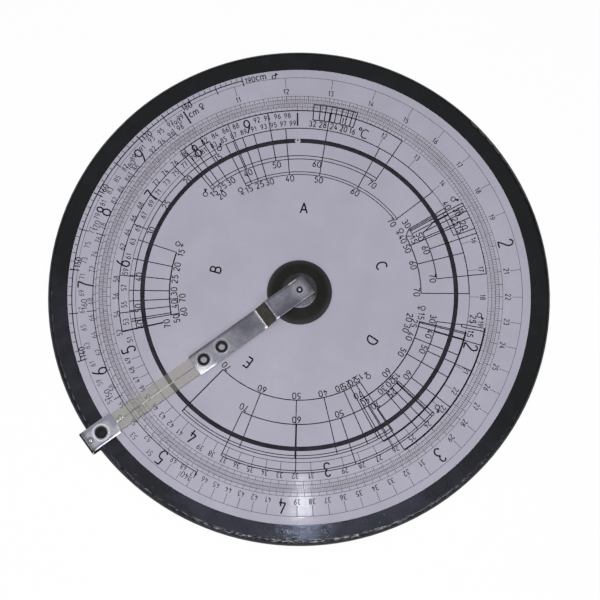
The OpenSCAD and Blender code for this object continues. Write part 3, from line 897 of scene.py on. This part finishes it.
def heightArc(sizes, mark):
    low, high = heightRange

    def angleOf(height):
        return sizes["start"] + 360 * math.log10((height - sizes["zero"]) / (low - sizes["zero"]))

    strokes = [arc(sizes["arc"], angleOf(low), angleOf(high), sizes["ink"])]
    for height in range(low, high + 1):
        angle = angleOf(height)
        if height % 10 == 0:
            strokes.append(spoke(angle, *sizes["major"], sizes["ink"]))
            lead, row = sizes["moved"].get(height, (sizes["lead"], sizes["row"]))
            strokes += label(str(height), angle + lead, row, width=sizes["figureInk"], **heightLabel)
        elif height % 5 == 0 and mark == "man":
            strokes.append(spoke(angle, *sizes["major"], sizes["figureInk"]))
        strokes.append(spoke(angle, sizes["arc"], sizes["tick"], sizes["tickInk"]))
    unitAngle, unitRow, signRow, signLead = sizes["unit"]
    strokes += label("cm", unitAngle, unitRow, **unitLabel)
    strokes += genderSign(mark, unitAngle + signLead, signRow, **signLabel)
    return strokes


printStrokes("woman_height_arc", "base", heightArc(womanHeights, "woman"))
printStrokes("man_height_arc", "base", heightArc(manHeights, "man"))


# age charts on the inner scale: arcs (radius, from, to, width), spokes (from, to, angles, width), slants,
# figures by row

ageLabel = {"height": 2.35, "width": 0.38, "wide": 0.95, "gap": 0.28}
charts = {
    "a_man": {
        "arcs": [(75.0, 320.4, 393.6, 0.45), (56.2, 320.4, 393.6, 0.33), (54.8, 320.4, 393.6, 0.33)],
        "spokes": [(54.8, 75.0, (320.4, 321.7, 324.3, 327.8, 337.3, 350.1, 369.6, 393.6))],
        "rows": [(53.1, {15: 319.8, 25: 324.3, 30: 328.8, 40: 337.1, 50: 350.1, 60: 367.6, 70: 393.4}),
                 (50.4, {20: 322.0})],
        "mark": ("man", 317.4, 55.8),
    },
    "a_woman": {
        "arcs": [(67.6, 334.0, 412.3, 0.37), (49.5, 334.0, 412.3, 0.31), (48.4, 334.0, 412.3, 0.31)],
        "spokes": [(48.4, 67.6, (334.0, 336.7, 340.2, 344.2, 355.3, 369.6, 388.6, 412.3))],
        "rows": [(46.8, {15: 334.4, 25: 340.1, 30: 345.2, 40: 355.3, 50: 369.5, 60: 388.5, 70: 412.2})],
        "mark": ("woman", 330.6, 47.4),
    },
    "c_man": {
        "arcs": [(75.0, 60.5, 84.0, 0.37), (55.0, 63.8, 84.0, 0.40)],
        "spokes": [(59.9, 75.0, (60.6, 61.6)), (55.2, 75.0, (63.4, 65.7, 71.0)),
                   (67.6, 75.0, (69.4,)), (55.0, 75.0, (84.0,))],
        "slants": [((62.2, 59.9), (63.8, 55.0))],
        "rows": [(69.1, {40: 58.8, 25: 65.0, 15: 68.0}), (71.4, {30: 62.4, 20: 67.2}),
                 (53.4, {50: 64.6, 60: 70.9, 70: 83.6})],
        "mark": ("man", 58.6, 73.4),
    },
    "c_woman": {
        "arcs": [(67.6, 59.3, 90.2, 0.40), (66.0, 60.5, 69.2, 0.33),
                 (48.4, 61.7, 90.2, 0.42), (51.1, 59.0, 63.6, 0.33)],
        "spokes": [(51.1, 67.7, (59.3, 60.5, 61.9)), (51.1, 64.0, (59.9,)), (66.0, 67.6, (60.5, 69.2)),
                   (48.4, 67.6, (66.5, 76.0, 90.2))],
        "slants": [((59.4, 50.9), (61.6, 48.4)), ((61.6, 48.4), (63.0, 51.1))],
        "rows": [(51.3, {30: 56.7}), (50.5, {15: 64.6}), (46.7, {40: 62.0, 50: 67.3, 60: 76.0, 70: 89.6})],
        "mark": ("woman", 58.2, 47.2),
    },
    "d_man": {
        "arcs": [(75.0, 101.0, 146.6, 0.68), (55.7, 102.0, 146.7, 0.40), (65.7, 101.0, 102.0, 0.37)],
        "spokes": [(65.7, 75.0, (101.0, 102.0)), (55.7, 75.0, (106.3, 114.8, 127.6, 146.7))],
        "slants": [((101.2, 65.7), (102.0, 55.7))],
        "rows": [(69.7, {25: 98.7, 15: 103.6}),
                 (54.0, {30: 101.2, 40: 107.8, 50: 114.8, 60: 127.6, 70: 146.4})],
        "mark": ("man", 97.6, 72.8),
    },
    "d_woman": {
        "arcs": [(67.8, 103.3, 151.0, 0.73), (49.1, 103.5, 151.0, 0.50)],
        "spokes": [(49.1, 67.8, (103.6, 104.1, 106.0, 111.7, 120.0, 133.0, 151.0))],
        "rows": [(49.3, {15: 100.9}), (47.1, {25: 105.0, 40: 111.8, 50: 120.4, 60: 133.0, 70: 150.6}),
                 (44.8, {20: 102.8, 30: 108.6})],
        "mark": ("woman", 97.2, 48.8),
    },
    "e_man": {
        "arcs": [(71.8, 132.3, 205.3, 0.33), (70.9, 132.3, 205.3, 0.33), (52.7, 132.3, 205.3, 0.40)],
        "spokes": [(52.7, 71.8, (132.3, 133.4, 136.2, 139.5, 149.2, 162.0, 181.2, 205.3))],
        "rows": [(50.9, {15: 131.4, 20: 135.2, 30: 140.0, 40: 149.2, 50: 162.0, 60: 181.2, 70: 205.3}),
                 (54.2, {25: 137.6})],
        "mark": ("man", 130.6, 71.8),
    },
    "e_woman": {
        "arcs": [(66.1, 146.2, 224.2, 0.33), (65.0, 146.2, 224.2, 0.33), (43.1, 146.2, 224.2, 0.40)],
        "spokes": [(43.1, 66.1, (146.3, 148.7, 152.0, 156.0, 167.0, 181.5, 200.8)),
                   (43.1, 66.1, (224.2,), 0.48)],
        "rows": [(41.4, {15: 145.4, 20: 149.4, 25: 153.4, 30: 157.4,
                         40: 167.0, 50: 181.5, 60: 200.8, 70: 224.2})],
        "mark": ("woman", 141.0, 42.6),
    },
    "b_man": {
        "arcs": [(71.8, 257.0, 329.7, 0.37), (65.9, 257.0, 329.7, 0.37)],
        "spokes": [(65.9, 71.8, (263.3, 275.6, 292.8, 303.8, 315.8, 329.7)), (55.3, 71.8, (257.3,), 0.6)],
        "rows": [(64.2, {60: 258.4, 50: 264.3, 40: 275.6, 30: 292.8, 25: 303.8, 20: 315.8, 15: 329.4}),
                 (53.9, {70: 256.5})],
        "mark": ("man", 331.9, 68.0),
    },
    "b_woman": {
        "arcs": [(51.6, 259.6, 288.4, 0.52), (48.4, 258.8, 268.4, 0.33)],
        "spokes": [(51.6, 67.7, (260.0, 260.8, 263.7, 267.0, 270.7, 275.8, 281.7, 288.4)),
                   (48.4, 51.6, (260.0, 267.0))],
        "rows": [(49.8, {50: 257.8, 40: 264.6, 30: 270.4, 25: 276.2, 20: 282.0, 15: 288.8}),
                 (46.5, {60: 260.2, 70: 267.2})],
        "mark": ("woman", 292.2, 51.6),
    },
}


def chartStrokes(chart):
    strokes = [arc(*row) for row in chart["arcs"]]
    for low, high, angles, *width in chart["spokes"]:
        strokes += [spoke(a, low, high, *width) for a in angles]
    strokes += [line(*ends) for ends in chart.get("slants", [])]
    for r, ages in chart["rows"]:
        for age, angle in ages.items():
            strokes += label(str(age), angle, r, **ageLabel)
    return strokes + genderSign(*chart["mark"])


for name, chart in charts.items():
    printStrokes("chart_" + name, "inner_dial", chartStrokes(chart))
print("age charts printed")


# the temperature steps, the heavy ring with its index arrow, and five plain letters

warmthGrid = {
    "low": 71.3, "high": 77.7, "lines": (4.4, 6.4, 8.1, 9.9, 11.4, 13.2, 14.9, 16.4, 17.7), "ink": 0.42,
    "row": 69.7, "figures": {32: 4.4, 28: 7.8, 24: 11.5, 20: 14.8, 16: 17.8},
    "figure": {"height": 2.3, "width": 0.37, "wide": 0.85},
    "unit": {"angle": 21.3, "r": 70.4, "height": 3.7, "width": 0.48, "gap": 0.1},
}
heavyRing = {
    "r": dialRadius["heavyRing"], "width": 1.76, "index": 359.4, "gap": 1.30, "steps": 240,
    "lap": 0.02, "core": 0.7, "tip": 0.84, "tipInk": 0.24, "arrow": (0.95, -0.05), "arrowInk": (0.14, 0.74),
}
letters = {"A": 3.0, "B": 285.8, "C": 71.2, "D": 123.9, "E": 216.0}
letterSizes = {"r": 34.6, "height": 4.2, "width": 0.62, "wide": 0.9}


def warmthStrokes():
    lines, low, high, ink = (warmthGrid[key] for key in ("lines", "low", "high", "ink"))
    strokes = [arc(r, lines[0], lines[-1], ink) for r in (low, high)]
    strokes += [spoke(a, low, high, ink) for a in lines]
    for degrees, angle in warmthGrid["figures"].items():
        strokes += label(str(degrees), angle, warmthGrid["row"], **warmthGrid["figure"])
    return strokes + label(("deg", "C"), **warmthGrid["unit"])


def ringStrokes():
    r, half, index = heavyRing["r"], heavyRing["width"] / 4, heavyRing["index"]
    start, end, steps = index + heavyRing["gap"], index + 360 - heavyRing["gap"], heavyRing["steps"]
    tipInk = heavyRing["tipInk"]
    strokes = []
    for side in (-1, 1):       # two bands that narrow to a tip on either side of the index
        middle, thin = r + side * half, r + side * (2 * half - tipInk / 2)
        points = [polar(thin, index + heavyRing["tip"])]
        points += [polar(middle, start + (end - start) * i / steps) for i in range(steps + 1)]
        points += [polar(thin, index + 360 - heavyRing["tip"])]
        strokes.append((points, (tipInk,) + (2 * half + heavyRing["lap"],) * (steps + 1) + (tipInk,)))
    strokes.append(arc(r, start, end, heavyRing["width"] * heavyRing["core"]))
    strokes.append(([polar(r + away, index) for away in heavyRing["arrow"]], heavyRing["arrowInk"]))
    return strokes


def letterStrokes():
    strokes = []
    for text, angle in letters.items():
        strokes += label(text, angle, **letterSizes)
    return strokes


printStrokes("warmth_grid", "inner_dial", warmthStrokes())
printStrokes("heavy_ring", "inner_dial", ringStrokes())
printStrokes("chart_letters", "inner_dial", letterStrokes())
print("print finished")


# bent sheet metal of the cursor, made along +X and turned to the cursor's way

sheetWork = {"bendSteps": 7, "cornerSteps": 6, "holeSides": 48, "skin": 0.45 * mm, "through": 2 * mm,
             "smoothAngle": math.radians(35)}


def roundedPath(corners, radii):
    steps = sheetWork["bendSteps"]
    path = [Vector(corners[0])]
    for before, here, after, radius in zip(corners, corners[1:], corners[2:], radii):
        here = Vector(here)
        back, ahead = (Vector(before) - here).normalized(), (Vector(after) - here).normalized()
        half = back.angle(ahead) / 2
        reach = radius / math.tan(half)
        centre = here + (back + ahead).normalized() * (radius / math.sin(half))
        first, last = here + back * reach - centre, here + ahead * reach - centre
        sweep = first.angle_signed(last)
        for i in range(steps + 1):
            turn = Matrix.Rotation(-sweep * i / steps, 2)
            path.append(centre + turn @ first)
    return path + [Vector(corners[-1])]


def sheetAlong(name, path, width):
    deselect()
    start, second = path[0], path[1]
    bpy.ops.mesh.primitive_plane_add(size=width, location=(start.x + width / 2, 0, start.y))
    piece = bpy.context.object
    piece.name = name
    bpy.ops.object.transform_apply(location=True)
    pick(piece, lambda co: co.x > start.x + width / 2, "EDGE")
    bpy.ops.transform.translate(value=(second.x - start.x - width, 0, second.y - start.y))
    for here, after in zip(path[1:], path[2:]):
        step = after - here
        bpy.ops.mesh.extrude_edges_move(TRANSFORM_OT_translate={"value": (step.x, 0, step.y)})
    return piece


def applyModifier(piece, name, kind, **settings):
    deselect()
    piece.select_set(True)
    bpy.context.view_layer.objects.active = piece
    modifier = piece.modifiers.new(name, kind)
    for key, value in settings.items():
        setattr(modifier, key, value)
    bpy.ops.object.modifier_apply(modifier=name)


def rollOff(piece, topZ, drop, test, reach, fade):
    # the top face falls away towards the picked edge; what lies under it stays
    pick(piece, lambda co: co.z < topZ - sheetWork["skin"])
    bpy.ops.mesh.hide(unselected=False)
    toMode("OBJECT")
    hidden = {v.index for v in piece.data.vertices if v.hide}
    for v in piece.data.vertices:
        v.select = v.index not in hidden and test(v.co)
    toMode("EDIT")
    bpy.ops.mesh.select_mode(type="VERT")
    bpy.ops.transform.translate(value=(0, 0, -drop), use_proportional_edit=True,
                                proportional_edit_falloff=fade, proportional_size=reach)
    bpy.ops.mesh.reveal(select=False)
    toMode("OBJECT")


def bentSheet(name, sizes, corners, atEnd, crossCuts):
    path = roundedPath(corners, [r * mm for r in sizes["bends"]])
    piece = sheetAlong(name, path, sizes["width"] * mm)
    pick(piece, atEnd)
    bpy.ops.mesh.bevel(offset=sizes["corner"] * mm, segments=sheetWork["cornerSteps"], affect="VERTICES")
    # lines across the sheet, so that it can be rolled off
    for axis, place in [(1, y * mm) for y in sizes["lines"]] + [(0, x) for x in crossCuts]:
        at, way = Vector((0, 0, 0)), Vector((0, 0, 0))
        at[axis], way[axis] = place, 1.0
        selectAll()
        bpy.ops.mesh.bisect(plane_co=at, plane_no=way)
    toMode("OBJECT")
    thick = sizes["thick"] * mm
    applyModifier(piece, "gauge", "SOLIDIFY", thickness=thick, offset=0.0, use_even_offset=True)
    return piece


def drill(piece, holes, low, high):
    for x, radius in holes:
        deselect()
        bpy.ops.mesh.primitive_cylinder_add(vertices=sheetWork["holeSides"], radius=radius, depth=high - low,
                                            location=(x, 0, (low + high) / 2))
        cutter = bpy.context.object
        applyModifier(piece, "hole", "BOOLEAN", operation="DIFFERENCE", object=cutter, solver="EXACT")
        bpy.data.objects.remove(cutter)


def finishSheet(piece, body, node, material, edge):
    applyModifier(piece, "edges", "BEVEL", width=edge, segments=3, limit_method="ANGLE",
                  angle_limit=edgeAngle)
    piece.rotation_euler.z = cursorTurn
    bpy.ops.object.transform_apply(location=True, rotation=True, scale=True)
    bpy.ops.object.shade_smooth_by_angle(angle=sheetWork["smoothAngle"])
    applyModifier(piece, "faceNormals", "WEIGHTED_NORMAL", weight=50, keep_sharp=True)
    piece.data.materials.clear()
    piece.data.materials.append(material)
    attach(piece, body)
    if node:
        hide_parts(node)


def middleOf(node):
    low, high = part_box(node)
    return ((low + high) / 2).to_2d().length


armSizes = {
    "width": 8.8, "thick": 1.0, "tail": 4.4, "bendStart": 13.6, "bendRun": 5.0, "margin": 4.4,
    "corner": 0.5, "bends": (1.2, 2.6), "edge": 0.15, "pivotHole": 0.95, "eyeletHole": 1.73,
    "lines": [-3.6 + 0.4 * i for i in range(20)] + [4.12, 4.26],
    "crossLines": [0.6 * i for i in range(1, 22)],
    "lower": 20,       # rolls no longer than this lie below the bend
    "rolls": ((3.0, 0.12, 7.6, "SHARP"), (7.4, 0.11, 0.32, "LINEAR"), (80.0, 0.13, 0.38, "LINEAR")),
}


def makeArm():
    low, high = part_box("cursor_arm")
    half = armSizes["thick"] / 2 * mm
    top, bottom = high.z - half, low.z + half
    end = middleOf("outer_eyelet") + armSizes["margin"] * mm
    start = armSizes["bendStart"] * mm
    tail = -armSizes["tail"] * mm
    width = armSizes["width"] * mm
    corners = [(tail, top), (start, top), (start + armSizes["bendRun"] * mm, bottom), (end, bottom)]
    crossCuts = [end - x * mm for x in armSizes["crossLines"]]

    def atEnd(co):
        return co.x < tail + slack or co.x > end - slack

    arm = bentSheet("arm_bar", armSizes, corners, atEnd, crossCuts)
    for rolled, drop, reach, fade in armSizes["rolls"]:       # one corner and one side are worn down by use
        level = (bottom if rolled < armSizes["lower"] else top) + half

        def worn(co):
            return co.y > width / 2 - slack and co.x > end - rolled * mm and co.z < level + slack

        rollOff(arm, level, drop * mm, worn, reach * mm, fade)
    holes = [(0.0, armSizes["pivotHole"] * mm)]
    holes += [(middleOf(n), armSizes["eyeletHole"] * mm) for n in ("inner_eyelet", "outer_eyelet")]
    drill(arm, holes, low.z - sheetWork["through"], high.z + sheetWork["through"])
    finishSheet(arm, "cursor", "cursor_arm", armMaterial, armSizes["edge"] * mm)


clipSizes = {
    "width": 9.0, "thick": 0.7, "start": 88.8, "under": 91.0, "pastPin": 2.5,
    "corner": 1.2, "bends": (0.84, 0.84), "edge": 0.12, "eyeletHole": 1.73, "pinHole": 0.6,
    "drop": 0.19, "reach": 0.56, "cornerSlack": 2e-5,
    "lines": (1.0, 2.2, 3.3, 3.6, 3.8, 3.95, 4.1, 4.25, 4.4),
    "crossLines": (0.2, 0.4, 0.6, 0.9, 1.3, 4.0, 6.5, 9.0, 11.5),
}


def makeClip():
    low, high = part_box("end_clip")
    half = clipSizes["thick"] / 2 * mm
    top, bottom = high.z - half, low.z + half
    pin = pinPlace.to_2d().length
    web = pin + clipSizes["pastPin"] * mm - half
    begin = clipSizes["start"] * mm
    width = clipSizes["width"] * mm
    corners = [(begin, top), (web, top), (web, bottom), (clipSizes["under"] * mm, bottom)]
    crossCuts = [begin + x * mm for x in clipSizes["crossLines"]]
    clip = bentSheet("end_clip_fold", clipSizes, corners, lambda co: co.x < begin + slack, crossCuts)
    corner = clipSizes["corner"] * mm
    hub = Vector((begin + corner, width / 2 - corner))

    def worn(co):       # one long side and the corner before it
        away = co.to_2d() - hub
        outside = away.length > corner - clipSizes["cornerSlack"]
        return co.y > width / 2 - slack or (away.x < 0 < away.y + slack and outside)

    rollOff(clip, top + half, clipSizes["drop"] * mm, worn, clipSizes["reach"] * mm, "LINEAR")
    above = high.z + sheetWork["through"]
    drill(clip, [(middleOf("clip_eyelet"), clipSizes["eyeletHole"] * mm)], top - sheetWork["through"], above)
    drill(clip, [(pin, clipSizes["pinHole"] * mm)], low.z - sheetWork["through"], above)
    finishSheet(clip, "cursor", "end_clip", clipMaterial, clipSizes["edge"] * mm)


stripSizes = {
    "width": 7.8, "inner": 33.5, "outer": 99.4, "edge": 0.08, "hole": 1.73,
    "hair": 0.19, "hairSpan": (48.6, 93.8), "hairLow": 0.005, "hairHigh": 0.1, "hairEdge": 0.03,
    "flecks": ((85.3, 0.5), (86.3, 0.55), (87.5, 1.0)),       # start and length
    "fleckWidth": 0.42, "fleckLow": 0.005, "fleckHigh": 0.09, "fleckEdge": 0.04,
}


def slabAlong(name, start, end, width, bottom, top):
    piece = sheetAlong(name, [Vector((start, bottom)), Vector((end, bottom))], width)
    selectAll()
    bpy.ops.mesh.extrude_region_move(TRANSFORM_OT_translate={"value": (0, 0, top - bottom)})
    selectAll()
    bpy.ops.mesh.normals_make_consistent(inside=False)
    toMode("OBJECT")
    return piece


def makeStrip():
    low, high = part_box("cursor_strip")
    start, end = stripSizes["inner"] * mm, stripSizes["outer"] * mm
    strip = slabAlong("clear_bar", start, end, stripSizes["width"] * mm, low.z, high.z)
    eyelets = ("inner_eyelet", "outer_eyelet", "clip_eyelet")
    drill(strip, [(middleOf(n), stripSizes["hole"] * mm) for n in eyelets], low.z - mm, high.z + mm)
    finishSheet(strip, "cursor", "cursor_strip", stripMaterial, stripSizes["edge"] * mm)
    strip.visible_diffuse = False       # light reaches the print by the clear shadow alone
    begin, finish = (x * mm for x in stripSizes["hairSpan"])
    bottom, top = (low.z + stripSizes[key] * mm for key in ("hairLow", "hairHigh"))
    hair = slabAlong("hair_line", begin, finish, stripSizes["hair"] * mm, bottom, top)
    finishSheet(hair, "cursor", None, hairFinish(), stripSizes["hairEdge"] * mm)
    bottom, top = (high.z + stripSizes[key] * mm for key in ("fleckLow", "fleckHigh"))
    for number, (x, length) in enumerate(stripSizes["flecks"], 1):       # raised flecks on top of the line, painted white as glints
        name = "line_fleck_%d" % number
        fleck = slabAlong(name, x * mm, (x + length) * mm, stripSizes["fleckWidth"] * mm, bottom, top)
        finishSheet(fleck, "cursor", None, fleckGlintMaterial, stripSizes["fleckEdge"] * mm)


makeArm()
makeClip()
makeStrip()
print("cursor arm, clip and strip made")

print("finished")
